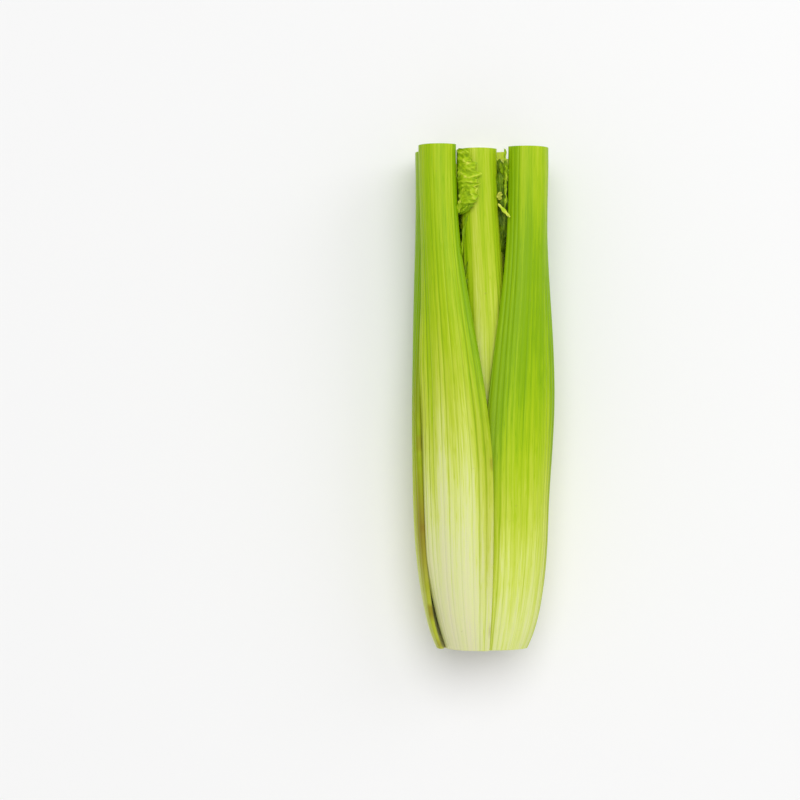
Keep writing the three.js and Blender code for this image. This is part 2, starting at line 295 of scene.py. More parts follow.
def place_of(stalk, y):
    """Where a stalk stands at heights y: its outer face's middle, the way it faces, its section's size
    and how far that section is flattened. Low down it stands on a round ring that is then flattened,
    and it eases from there to its own place at the top."""
    ring = swell(y) * stalk["share"]
    theta = math.radians(stalk["around"])
    top_x, top_z, top_facing, top_width = stalk["top"]
    leaving = ease(stalk["opens"], LENGTH, y)
    narrowing = ease(*NARROWS, y)
    closed = CLOSES * ease(*CLOSES_OVER, y) * (1 - ease(*LOOSENS_OVER, y))
    lap = np.radians(PINWHEEL - closed) * (1 - ease(*UNLAPS, y))
    return dict(
        x=mix(ring * HALF_WIDTH * math.cos(theta), top_x, leaving),
        z=mix(ring * HALF_DEPTH * math.sin(theta), top_z, leaving),
        facing=mix(theta, math.radians(top_facing), leaving) + lap,
        flatness=mix(HALF_DEPTH / HALF_WIDTH, 1.0, leaving),
        width=mix(stalk["width"] * swell(y), top_width, narrowing),
        curve=mix(stalk["curve"] * swell(y), top_width * TOP_CURVE, narrowing),
        wall=stalk["wall"] * mix(FOOT_WALL, 1.0, ease(0, FULL_WALL, y)),
    )


def wall_at(at, s):
    """A stalk's wall at s across it, which thins from its middle to its margins."""
    return at["wall"] * (1 - (1 - MARGIN_SHARE) * np.abs(s) ** THINS_BY)


def on_section(at, phi, depth):
    """The x and z of a stalk's points at the angle phi round its outer face's arc, depth below it."""
    aside = (at["curve"] - depth) * np.sin(phi)
    out = (at["curve"] - depth) * np.cos(phi) - at["curve"]
    x = at["x"] + aside * np.sin(at["facing"]) + out * np.cos(at["facing"])
    z = at["z"] + (out * np.sin(at["facing"]) - aside * np.cos(at["facing"])) * at["flatness"]
    return x, z


def ring_quads(rings, around):
    """The faces between rings of points, each of which has around points and closes on itself."""
    row, column = np.meshgrid(np.arange(rings - 1), np.arange(around), indexing="ij")
    turn = (column + 1) % around
    return np.stack([row * around + column, row * around + turn,
                     (row + 1) * around + turn, (row + 1) * around + column], -1).reshape(-1, 4)


def pole_quads(rings, around):
    """The faces that close the first and the last of such rings to a point. The two points come after
    those of the rings."""
    even = np.arange(0, around, 2)
    last = (rings - 1) * around
    pole = np.full(len(even), rings * around)
    foot = np.stack([pole, (even + 2) % around, even + 1, even], -1)
    head = np.stack([pole + 1, last + even, last + even + 1, last + (even + 2) % around], -1)
    return np.concatenate([foot, head])


def block_grid(across, through, along):
    """The surface of a block of across by through by along cells: for each point its s from -1 to 1
    across, w from 0 at the outer face to 1 at the inner, and t from 0 to 1 along, and the faces. The
    sides are one closed loop carried along, and the two end caps are lattices that share its points."""
    span = np.linspace(-1, 1, across + 1)
    depth = np.linspace(0, 1, through + 1)
    s = np.concatenate([span, np.ones(through - 1), span[::-1], -np.ones(through - 1)])
    w = np.concatenate([np.zeros(across + 1), depth[1:-1], np.ones(across + 1), depth[-2:0:-1]])
    loop = len(s)
    t = np.repeat(np.linspace(0, 1, along + 1), loop)
    sides = ring_quads(along + 1, loop)
    s_all, w_all, t_all, caps = [np.tile(s, along + 1)], [np.tile(w, along + 1)], [t], []
    first = loop * (along + 1)
    for end in (0, along):
        lattice = np.zeros((across + 1, through + 1), int)
        lattice[:, 0] = np.arange(across + 1)
        lattice[across, :] = np.arange(across, across + through + 1)
        lattice[::-1, through] = np.arange(across + through, 2 * across + through + 1)
        lattice[0, :0:-1] = np.arange(2 * across + through, loop)
        lattice[0, 0] = 0
        lattice += end * loop
        inner = (across - 1) * (through - 1)
        lattice[1:-1, 1:-1] = first + np.arange(inner).reshape(across - 1, through - 1)
        first += inner
        inside_s, inside_w = np.meshgrid(span[1:-1], depth[1:-1], indexing="ij")
        s_all.append(inside_s.ravel())
        w_all.append(inside_w.ravel())
        t_all.append(np.full(inner, end / along))
        cap = np.stack([lattice[:-1, :-1], lattice[1:, :-1], lattice[1:, 1:], lattice[:-1, 1:]], -1)
        caps.append((cap if end else cap[..., ::-1]).reshape(-1, 4))
    return (np.concatenate(s_all), np.concatenate(w_all), np.concatenate(t_all),
            sides, caps[0], caps[1])


def stalk_surface(stalk, seed, across, through, along):
    """A stalk. Its section is a crescent: the outer face is an arc, the wall thins from its middle to
    its margins, and the margins are rounded. Ribs run up the outer face as rounded ridges between sharp
    valleys, each rib half a sine wave across, with slow random changes in their spacing and height."""
    s, w, t, sides, foot_cap, top_cap = block_grid(across, through, along)
    y = mix(stalk["foot"], stalk["end"], t)
    at = place_of(stalk, y)
    wander = ripples(seed, 5, (0.012, 0.035), (0.8, 2.5))
    bends = ripples(seed + 1, 5, (0.03, 0.09), (0.5, 2.0))
    scale = stalk["share"] ** 0.5
    reach = np.arcsin(at["width"] / 2 / at["curve"])
    wall = wall_at(at, s)
    bulge = np.arcsin(EDGE_ROUND * at["wall"] * MARGIN_SHARE / at["curve"])
    at_margin = np.abs(s) > 1 - 1e-9
    phi = reach * s + np.where(at_margin, np.sign(s) * bulge * np.sin(math.pi * w), 0)
    phase = (s + 1) / 2 * stalk["ribs"] + RIB_WANDER * wander(y, 3 * s)
    ridge = np.abs(np.sin(math.pi * phase))
    draw = np.random.default_rng(seed + 2)
    bold = draw.uniform(0.15, 1.0, stalk["ribs"] + 5)
    strength = bold[np.rint(phase).astype(int) + 2] * (0.8 + 0.2 * wander(3 * y, 9 * s + 2))
    strength = np.clip(strength + 0.7 * ease(0.35, 0.8, np.abs(s)), 0, 1.6)
    fade = mix(0.5, 1.0, ease(*RIBS_GROW, y)) * (1 - 0.6 * ease(*RIBS_FADE, y))
    valley = RIB_HEIGHT * scale * (1 - ridge) ** 1.5 * strength * fade * (w == 0)
    swerve = SWERVE * scale * bends(y, 2 * s) * ease(0, 25, y) * (1 - ease(215, LENGTH, y))
    lip = stalk["lip"] * ease(0.4, 0.85, -s) * ease(*LIP_TURNS, y) * (1 - ease(*LIP_ENDS, y))
    x, z = on_section(at, phi, wall * w + valley + swerve - lip)
    points = np.stack([x, y, np.maximum(z, -AXIS_HEIGHT)], -1)
    green = stalk["pale"] + stalk["gain"] * ease(-15, stalk["rise"], y)
    green = green - stalk["fades"] * ease(165, 222, y)
    bands = ripples(seed + 3, 7, (0.004, 0.02), (4.0, 14.0))
    # The margins are greener; the extra green on stalk_front_right's left margin is painted shade.
    flush_and_shade = np.where(s < 0, stalk["flush_and_shade"], MARGIN_FLUSH) * ease(0.55, 1.0, np.abs(s))
    green = green + flush_and_shade * (1 - 0.4 * ease(150, 215, y)) + 0.10 * bands(y, s)
    green = green * mix(1.0, HOLLOW_GREEN, ease(0.3, 1.0, w))
    patchy = ripples(seed + 4, 4, (0.03, 0.1))
    rubbed = ripples(seed + 5, 5, (0.15, 0.5))
    # The lower margins are browned; on stalk_left, whose share of it is large, this also paints shade.
    brown = ease(0.5, 1.0, np.abs(s)) * (1 - ease(50, 170, y)) * (0.65 + 0.35 * patchy(y))
    brown = brown * mix(0.35, 1.0, ease(0, 65, y))
    marks = ease(0.94, 0.995, np.abs(s)) * ease(0.35, 0.8, rubbed(y, s)) * (1 - ease(70, 130, y))
    # groove is how deep a point lies in a rib's valley: the skin turns greener and darker there, partly
    # the valley's own green and partly painted shade.
    values = dict(
        green=np.clip(green, 0, 1),
        groove=np.where(w == 0, (1 - ridge) ** 4 * strength * fade, 0.0),
        brown=stalk["tan_and_shade"] * brown + 0.9 * marks * (stalk["share"] == 1.0),
    )
    quads = np.concatenate([sides, foot_cap, top_cap])
    side_uv = np.stack([phase, y * 0.01], -1)[sides]
    cap_uv = [np.stack([phase, wall * w], -1)[cap] for cap in (foot_cap, top_cap)]
    slots = np.repeat([0, 1, 2], [len(sides), len(foot_cap), len(top_cap)])
    return Surface(points, quads, np.concatenate([side_uv] + cap_uv), slots, values).outward()


# Leaves

def grid_quads(rows, columns):
    """The faces of a slab: a lattice below, the same lattice above, and a rim between them."""
    wide = columns + 1
    layer = wide * (rows + 1)
    i, j = np.meshgrid(np.arange(rows), np.arange(columns), indexing="ij")
    a = i * wide + j
    low = np.stack([a, a + wide, a + wide + 1, a + 1], -1).reshape(-1, 4)
    rim = np.concatenate([np.arange(columns), np.arange(rows) * wide + columns,
                          rows * wide + np.arange(columns, 0, -1), np.arange(rows, 0, -1) * wide])
    onward = np.roll(rim, -1)
    return np.concatenate([low, low[:, ::-1] + layer,
                           np.stack([rim, onward, onward + layer, rim + layer], -1)])


def blade_surface(middle, rows, columns, thickness, values):
    """A thin blade on both sides of a middle surface of t from root to tip and s from -1 to 1 across.
    Its normals come from small steps along t and s."""
    grid = np.meshgrid(np.linspace(0, 1, rows + 1), np.linspace(-1, 1, columns + 1), indexing="ij")
    t, s = grid[0].ravel(), grid[1].ravel()
    small = 1e-3
    down = middle(t + small, s) - middle(t - small, s)
    over = middle(t, s + small) - middle(t, s - small)
    normal = np.cross(over, down)
    normal /= np.linalg.norm(normal, axis=-1, keepdims=True) + 1e-12
    centre = middle(t, s)
    half = thickness / 2 * (1 - 0.5 * np.abs(s))[:, None]
    points = np.concatenate([centre - normal * half, centre + normal * half])
    quads = grid_quads(rows, columns)
    uv = np.tile(np.stack([s, t], -1), (2, 1))[quads]
    doubled = {name: np.tile(function(t, s), 2) for name, function in values.items()}
    return Surface(points, quads, uv, np.full(len(quads), 3), doubled).outward()


def stem_surface(points, radii, sides=14, steps=8):
    """A slim round stem along a smoothed line of points that rise along the head."""
    points = np.asarray(points, float)
    knots = np.linspace(0, 1, len(points))
    t = np.linspace(0, 1, steps * (len(points) - 1) + 1)
    line = np.stack([np.interp(t, knots, points[:, k]) for k in range(3)], -1)
    for _ in range(6):
        line[1:-1] = (line[:-2] + 2 * line[1:-1] + line[2:]) / 4
    radius = np.interp(t, knots, radii)[:, None]
    angle = np.linspace(0, -2 * math.pi, sides, endpoint=False)[None, :]
    x = line[:, 0, None] + radius * np.cos(angle)
    z = line[:, 2, None] + radius * np.sin(angle)
    y = np.broadcast_to(line[:, 1, None], x.shape)
    rings = np.stack([x, y, z], -1)
    tips = [rings[0].mean(0), rings[-1].mean(0)]
    points = np.concatenate([rings.reshape(-1, 3), tips])
    quads = np.concatenate([ring_quads(len(t), sides), pole_quads(len(t), sides)])
    uv = np.stack([points[:, 0] * 0.3, points[:, 1] * 0.01], -1)[quads]
    values = dict(green=np.full(len(points), 0.7))
    return Surface(points, quads, uv, np.zeros(len(quads)), values).outward()


def saw(value, crest=0.75):
    """Teeth: rises slowly from 0 to 1 at the crest and falls back quickly, once a whole number."""
    part = value - np.floor(value)
    return np.where(part < crest, part / crest, (1 - part) / (1 - crest))


def off_whole(value):
    """The distance to the nearest whole number."""
    return np.abs(value - np.round(value))


def leaflet_surface(root, along, face, length, phase, tone, width=LEAF_WIDTH, curl=0.08):
    """A leaflet with three lobes and a toothed edge, puckered between its side veins. along is its
    midrib's direction, and face the way that its upper side faces. curl is how far its tip lifts, as a
    share of its length."""
    fine = width / LEAF_WIDTH
    side = np.cross(along, face)
    side /= np.linalg.norm(side)
    up = np.cross(side, along)

    def side_veins(t, s):
        return LEAF_VEINS * t - 1.6 * np.abs(s)

    def middle(t, s):
        clipped = np.clip(t, 0, 1)
        lobes = 0.55 + 0.45 * np.abs(np.cos(math.pi * 2.5 * t))
        teeth = 0.80 + 0.20 * saw(t * LEAF_TEETH)
        oval = np.sin(math.pi * clipped ** 0.75).clip(0) ** 0.6
        half = np.maximum(0.3, width / 2 * oval * lobes * teeth)
        forward = length * (t + 0.1 * np.abs(s) * np.sin(math.pi * t))
        ripple = 0.5 * fine * np.abs(s) * np.sin(t * 15 + 2.2 * np.sign(s) + phase)
        pucker = 0.22 * fine * np.sin(2 * math.pi * side_veins(t, s)) * np.abs(s) ** 0.5
        lift = curl * length * t * t - 0.12 * half * s * s + ripple + pucker
        return root + np.outer(forward, along) + np.outer(s * half, side) + np.outer(lift, up)

    values = dict(
        green=lambda t, s: np.clip(tone + 0.08 * np.sin(9 * t + phase), 0, 1),
        vein=lambda t, s: np.maximum(np.exp(-(s / 0.07) ** 2),
                                     0.7 * np.exp(-(off_whole(side_veins(t, s)) / 0.10) ** 2)),
    )
    return blade_surface(middle, 72, 16, mix(0.24, 0.36, fine), values)


def crumpling(pleats, seed):
    """How a folded leaf crumples, from 0 in its creases to 1 on its crests: uneven pleats that run
    outwards as cusped waves, crossed by finer wrinkles along the zero lines of a random function."""
    uneven = ripples(seed, 6, (4.0, 16.0), (2.0, 8.0))
    wrinkle = ripples(seed + 1, 9, (24.0, 60.0), (5.0, 16.0))

    def at(t, out):
        pleat = 1 - np.abs(np.sin(math.pi * (pleats * t + 0.9 * out + 0.6 * uneven(t, out)))) ** 0.8
        fine = (1 - np.abs(wrinkle(t, out)).clip(0, 1)) ** 2
        return 0.6 * pleat + 0.4 * fine

    return at


def folded_middle(over, degrees, crumple, seed):
    """The middle of a leaflet that comes up through the gap at a stalk's left margin and folds over the
    stalk's outer face, clear of it and crumpled."""
    stalk = STALKS[over]
    uneven = ripples(seed, 6, (4.0, 16.0), (2.0, 8.0))

    def middle(t, s):
        y = FOLD_FOOT + FOLD_LENGTH * t
        at = place_of(stalk, y)
        bulge = np.sin(math.pi * np.clip(t, 0, 1)).clip(0) ** 0.35
        tooth = 0.86 + 0.10 * saw(t * 12 + 0.3) + 0.07 * uneven(3 * t, 1.0)
        u = (s + 1) / 2
        out = ((u - FOLD_INSIDE) / (1 - FOLD_INSIDE)).clip(0)
        down = (1 - u / FOLD_INSIDE).clip(0) * FOLD_DEPTH * (0.45 + 0.55 * bulge)
        edge = at["facing"] + np.arcsin(at["width"] / 2 / at["curve"]) + math.radians(6)
        angle = edge - math.radians(degrees) * out * (0.3 + 0.7 * bulge) * tooth
        brim = 0.7 * ease(0.7, 1.0, out) * np.abs(np.sin(3 * math.pi * t + 0.8))
        relief = out ** 0.6 * (0.85 * crumple(t, out) + 0.25 * uneven(2 * t, 3 * out)) + brim
        radius = at["curve"] + FOLD_CLEAR + relief
        x = at["x"] + radius * np.cos(angle) - at["curve"] * np.cos(at["facing"])
        z = at["z"] + radius * np.sin(angle) - at["curve"] * np.sin(at["facing"])
        return np.stack([x, y + 0.5 * out * np.sin(20 * t), z - down], -1)

    return middle


def seeded(state):
    """Random numbers between 0 and 1: each state is FACTOR times the last, modulo MODULUS."""
    while True:
        state = state * FACTOR % MODULUS
        yield state / MODULUS


def direction(away, lean):
    """Straight up the head, but for a lean in radians towards away."""
    return np.array([0, math.cos(lean), 0]) + away * math.sin(lean)


def leafy_surfaces(name, shoot, index):
    """A shoot: a slim ribbed stalk, a stem that carries on from it and leaflets round both, and on the
    front two also small ones between the front stalks and one folded over the stalk beside it."""
    draw = seeded(101 + 37 * index)
    at = place_of(shoot, np.array([shoot["end"]]))
    facing = float(at["facing"][0])
    outward = np.array([math.cos(facing), 0, math.sin(facing)])
    sideways = np.array([-outward[2], 0, outward[0]])
    base = np.array([at["x"][0], shoot["end"], at["z"][0]]) - outward * at["wall"][0] * 0.55

    def core(rise):
        return base + np.array([0, rise, 0])

    def away_at(turn):
        return sideways * math.sin(turn) + outward * math.cos(turn)

    surfaces = [stalk_surface(dict(shoot, pale=0.05, gain=0.6, rise=200), 900 + index, 40, 10, 60)]
    surfaces.append(stem_surface([core(r) for r in (-8, 0, 12, 24)], [1.4, 1.4, 1.1, 0.8]))
    for rise, turn, lean, size in STEM_LEAFLETS:
        away = away_at(turn)
        length = min(size, LEAF_TOP - shoot["end"] - rise)
        phase = next(draw) * 6
        surfaces.append(leaflet_surface(core(rise), direction(away, lean), away, length, phase,
                                        STEM_LEAFLET_TONE))
    for rise, turn, lean, size in LOW_LEAFLETS:
        away = away_at(turn)
        surfaces.append(leaflet_surface(core(rise), direction(away, lean), away, size, rise,
                                        LOW_LEAFLET_TONE, LOW_LEAFLET_WIDTH))
    for k, (x, y, z, length, width, turn, lift, tilt, tone) in enumerate(SPRIGS.get(name, [])):
        level = math.cos(lift)
        along = np.array([math.sin(turn) * level, math.cos(turn) * level, math.sin(lift)])
        face = np.array([math.sin(tilt), 0, math.cos(tilt)])
        surfaces.append(leaflet_surface(np.array([x, y, z]), along, face, length, 1.7 * k, tone, width,
                                        SPRIG_CURL))
    if "fold" in shoot:
        over, degrees = shoot["fold"]
        crumple = crumpling(FOLD_PLEATS, 50 + index)
        middle = folded_middle(over, degrees, crumple, 40 + index)

        def crest(t, s):
            return crumple(t, (((s + 1) / 2 - FOLD_INSIDE) / (1 - FOLD_INSIDE)).clip(0))

        # The folded leaflet's tone is painted light: the part tucked inside the margin and its lowest
        # end are darkened as painted shade, its creases darkened as painted shade and its crests
        # lightened as painted highlights, and the crests also take the light vein colour as a painted
        # highlight.
        values = dict(
            green=lambda t, s: (0.10 + 0.64 * ease(-0.35, 0.2, s) - 0.22 * (1 - ease(0.05, 0.36, t))
                                + 0.3 * (crest(t, s) - 0.35)),
            vein=lambda t, s: ease(-0.4, 0.2, s) * ease(0.5, 0.9, crest(t, s)),
        )
        surfaces.append(blade_surface(middle, 160, 56, 0.4, values))
        ends = [middle(np.array([t]), np.array([-1.0]))[0] for t in (0.3, 0.6)]
        surfaces.append(stem_surface([core(4)] + ends, [0.9, 0.9, 0.8]))
    return surfaces


# Crown

def foot_marks(x, z):
    """What shows of the inner stalks' and shoots' feet on the unflattened cut face: seams, where their
    outer faces and faintly their inner ones lay, dots, a row of cut strings along each foot, and flesh,
    the crescents themselves. Each runs from 0 to 1."""
    seams, dots, flesh = np.zeros((3, len(x)))
    broken = ripples(71, 8, (0.25, 0.9), (0.25, 0.9))(x, z)
    for stalk in list(STALKS.values()) + list(SHOOTS.values()):
        if stalk["foot"] == 0:
            continue
        at = place_of(stalk, np.zeros(1))
        facing, curve = float(at["facing"][0]), float(at["curve"][0])
        centre_x = float(at["x"][0]) - curve * math.cos(facing)
        centre_z = float(at["z"][0]) * HALF_WIDTH / HALF_DEPTH - curve * math.sin(facing)
        radius = np.hypot(x - centre_x, z - centre_z)
        turn = np.arctan2(z - centre_z, x - centre_x) - facing
        turn = np.abs((turn + math.pi) % (2 * math.pi) - math.pi)
        reach = math.asin(float(at["width"][0]) / 2 / curve) * 1.1
        wall = float(at["wall"][0]) * (1 - 0.75 * (turn / reach).clip(0, 1) ** 2.5)
        within = 1 - ease(0.85, 1.05, turn / reach)
        depth = curve - radius
        outer_seam = np.exp(-((depth + 0.25 * broken) / 0.34) ** 2)
        inner_seam = 0.35 * np.exp(-((depth - wall) / 0.5) ** 2)
        seams = np.maximum(seams, within * np.maximum(outer_seam, inner_seam) * (0.62 + 0.5 * broken))
        aside = off_whole(turn * curve / STRING_SPACING) * STRING_SPACING
        row = depth - 1.15 - 0.2 * broken
        dot = np.exp(-((aside ** 2 + row ** 2) / 0.1))
        dots = np.maximum(dots, within * (0.55 + 0.8 * broken) * dot)
        flesh = np.maximum(flesh, within * ease(-0.1, 0.4, depth) * (1 - ease(-0.6, 0.2, depth - wall)))
    return seams.clip(0, 1), dots.clip(0, 1), flesh


def crown_surface(rings, spokes):
    """The crown: a plug whose outline at each height is as far out as the stalks' inner faces allow,
    found along spokes from the axis, with a cut face below and a low dome above."""
    theta = np.linspace(-math.pi, math.pi, spokes, endpoint=False)
    flat = HALF_DEPTH / HALF_WIDTH

    def outline(y):
        plug = mix(CROWN_FOOT, CROWN_TOP, y / CROWN_HEIGHT)
        limit = np.full(spokes, plug)
        for stalk in STALKS.values():
            if stalk["foot"] > 0:
                continue
            s = np.linspace(-1, 1, 81)
            at = place_of(stalk, np.full(len(s), y))
            phi = np.arcsin(at["width"] / 2 / at["curve"]) * s
            x, z = on_section(at, phi, wall_at(at, s) + CROWN_CLEAR)
            angle = np.unwrap(np.arctan2(z / flat, x))
            order = np.argsort(angle)
            radius = np.hypot(x, z / flat)[order]
            for turn in (-2 * math.pi, 0, 2 * math.pi):
                reach = np.interp(theta, angle[order] + turn, radius, left=math.inf, right=math.inf)
                limit = np.minimum(limit, reach)
        return limit

    heights = np.linspace(0, CROWN_HEIGHT, rings)
    side = [np.stack([r * np.cos(theta), np.full(spokes, y), r * np.sin(theta) * flat], -1)
            for y, r in ((y, outline(y)) for y in heights)]
    face = [side[0] * np.array([q, 1, q]) for q in np.linspace(1, 0, 96)[-2:0:-1]]
    dome = [side[-1] * np.array([q, 1, q]) for q in np.linspace(1, 0, 12)[1:-1]]
    rows = np.stack(face + side + dome)
    count = len(rows)
    points = np.concatenate([rows.reshape(-1, 3), [[0, 0, 0], [0, CROWN_HEIGHT, 0]]])
    quads = np.concatenate([ring_quads(count, spokes), pole_quads(count, spokes)])
    radial = np.hypot(points[:, 0], points[:, 2] / flat)
    uv = np.stack([np.arctan2(points[:, 2], points[:, 0]), radial], -1)[quads]
    cut = points[:, 1] < 0.01
    seams, dots, flesh = (mark * cut for mark in foot_marks(points[:, 0], points[:, 2] / flat))
    uneven = ripples(73, 8, (0.3, 1.2), (0.3, 1.2))(points[:, 0], points[:, 2])
    points[:, 1] += cut * (0.12 * seams + 0.08 * (1 + uneven))
    edge = ease(CROWN_FOOT - 3, CROWN_FOOT + 1, radial)
    values = dict(vein=seams, groove=dots, green=flesh, brown=0.5 * edge)
    return Surface(points, quads, uv, np.zeros(len(quads)), values).outward()


# Materials

def nodes_of(name):
    """A new material, its node tree and its Principled BSDF."""
    material = bpy.data.materials.new(name)
    material.use_nodes = True
    tree = material.node_tree
    return material, tree, tree.nodes["Principled BSDF"]


def add(tree, kind, inputs=None, **settings):
    """Adds a node. Settings are its properties. An input is a value, or a socket to link from."""
    node = tree.nodes.new(kind)
    for key, value in settings.items():
        setattr(node, key, value)
    for key, value in (inputs or {}).items():
        if isinstance(value, bpy.types.NodeSocket):
            tree.links.new(value, node.inputs[key])
        else:
            node.inputs[key].default_value = value
    return node


def attribute(tree, name):
    return add(tree, "ShaderNodeAttribute", attribute_name=name).outputs["Fac"]


def number(tree, operation, a, b=0.0, clamp=False):
    return add(tree, "ShaderNodeMath", {0: a, 1: b}, operation=operation, use_clamp=clamp).outputs[0]


def scaled(tree, value, factor, offset):
    """value times factor, plus offset."""
    inputs = {0: value, 1: factor, 2: offset}
    return add(tree, "ShaderNodeMath", inputs, operation="MULTIPLY_ADD").outputs[0]


def blend_colour(tree, share, a, b):
    return add(tree, "ShaderNodeMix", {0: share, 6: a, 7: b}, data_type="RGBA").outputs[2]


def noise(tree, place, scale, detail):
    inputs = {"Vector": place, "Scale": scale, "Detail": detail}
    return add(tree, "ShaderNodeTexNoise", inputs).outputs["Fac"]


def cells_of(tree, place, scale):
    """The distance from the nearest of scattered points."""
    return add(tree, "ShaderNodeTexVoronoi", {"Vector": place, "Scale": scale}).outputs["Distance"]


def object_place(tree):
    return add(tree, "ShaderNodeTexCoord").outputs["Object"]


def roughen(tree, shader, height, strength, distance):
    """Gives a shader a bump. distance is in metres."""
    bump = add(tree, "ShaderNodeBump", {"Strength": strength, "Distance": distance, "Height": height})
    tree.links.new(bump.outputs[0], shader.inputs["Normal"])


def set_shader(tree, shader, colour, **settings):
    """Links a shader's colour and sets its sockets, whose names have _ for spaces."""
    tree.links.new(colour, shader.inputs["Base Color"])
    for name, value in settings.items():
        shader.inputs[name.replace("_", " ")].default_value = value


def ramp(tree, share, stops):
    """A colour ramp with stops of (position, colour)."""
    node = add(tree, "ShaderNodeValToRGB", {0: share})
    elements = node.color_ramp.elements
    while len(elements) < len(stops):
        elements.new(0.5)
    for element, (position, colour) in zip(elements, stops):
        element.position = position
        element.color = colour
    return node.outputs["Color"]


def rgb(red, green, blue):
    """A colour given as it looks on a screen, from 0 to 255, as linear light."""
    def linear(value):
        value /= 255
        return value / 12.92 if value <= 0.04045 else ((value + 0.055) / 1.055) ** 2.4
    return (linear(red), linear(green), linear(blue), 1.0)


# A stalk's skin from its pale foot upwards, and a leaf from deep in the head outwards: the leaf's
# darkest tones are painted shade, and its last, yellowish tone is a painted highlight. The last tone of
# a skin is its own.
SKIN_TONES = [
    (0.0, rgb(230, 226, 184)), (0.24, rgb(226, 230, 166)), (0.36, rgb(222, 230, 142)),
    (0.48, rgb(209, 222, 98)), (0.60, rgb(193, 210, 62)), (0.76, rgb(172, 200, 22)),
    (0.92, rgb(150, 188, 4)),
]
LEAF_TONES = [
    (0.0, rgb(46, 72, 8)), (0.3, rgb(84, 116, 10)), (0.6, rgb(134, 170, 6)),
    (0.85, rgb(180, 212, 24)), (1.0, rgb(224, 228, 92)),
]
LEAF_VEIN_AND_HIGHLIGHT = rgb(196, 220, 62)
VALLEY_GREEN_AND_SHADE = rgb(104, 142, 12)
MARGIN_BROWN_AND_SHADE = rgb(138, 120, 34)
SCAR_TAN = rgb(150, 142, 74)
STRING_GREEN = rgb(142, 160, 62)
CUT_BROWN = rgb(176, 128, 72)
CROWN_CREAM = rgb(232, 226, 184)
FOOT_CREAM = rgb(244, 240, 212)
BUNDLE_TAN = rgb(196, 194, 130)
SEAM_TAN = rgb(172, 158, 92)
CROWN_STRING = rgb(156, 156, 78)
CROWN_STAIN = rgb(204, 164, 108)
CROWN_EDGE = rgb(150, 104, 58)


def new_group(name, inputs, outputs):
    """A new node group with float sockets, its input node and its output node."""
    group = bpy.data.node_groups.new(name, "ShaderNodeTree")
    for label in inputs:
        group.interface.new_socket(label, in_out="INPUT", socket_type="NodeSocketFloat")
    for label in outputs:
        group.interface.new_socket(label, in_out="OUTPUT", socket_type="NodeSocketFloat")
    return group, group.nodes.new("NodeGroupInput"), group.nodes.new("NodeGroupOutput")


def fibre_group():
    """Fine fibres along the UV's second axis. Outputs Streaks and Threads, which are masks of broad and
    of thin lines, and Height, for a bump."""
    group, inlet, outlet = new_group("fibres", ["Spacing"], ["Streaks", "Threads", "Height"])
    place = add(group, "ShaderNodeUVMap", uv_map="surface").outputs[0]
    split = add(group, "ShaderNodeSeparateXYZ", {0: place})
    across = number(group, "MULTIPLY", split.outputs["X"], inlet.outputs["Spacing"])
    stretched = add(group, "ShaderNodeCombineXYZ", {"X": across, "Y": split.outputs["Y"]}).outputs[0]
    short = number(group, "MULTIPLY", split.outputs["Y"], 3.0)
    closer = add(group, "ShaderNodeCombineXYZ", {"X": across, "Y": short}).outputs[0]
    fine = noise(group, closer, 2.0, 4.0)
    broad = noise(group, stretched, 0.8, 2.0)
    lines = noise(group, closer, 1.1, 1.0)
    off_line = number(group, "ABSOLUTE", number(group, "SUBTRACT", lines, 0.5))
    near_line = number(group, "SUBTRACT", 1.0, number(group, "MULTIPLY", off_line, 26.0), clamp=True)
    group.links.new(near_line, outlet.inputs["Threads"])
    group.links.new(fine, outlet.inputs["Height"])
    total = number(group, "ADD", fine, broad)
    group.links.new(number(group, "MULTIPLY", total, 0.5), outlet.inputs["Streaks"])
    return group


def speck_group():
    """Small scars and specks on object coordinates. Outputs Mask."""
    group, inlet, outlet = new_group("specks", ["Scale", "Cover"], ["Mask"])
    spots = noise(group, object_place(group), inlet.outputs["Scale"], 3.0)
    low = number(group, "SUBTRACT", 0.78, inlet.outputs["Cover"])
    over = number(group, "SUBTRACT", spots, low)
    group.links.new(number(group, "MULTIPLY", over, 12.0, clamp=True), outlet.inputs["Mask"])
    return group


FIBRES = fibre_group()
SPECKS = speck_group()


def placed(tree, group, **values):
    """A group placed in a material with its own values."""
    return add(tree, "ShaderNodeGroup", values, node_tree=group)


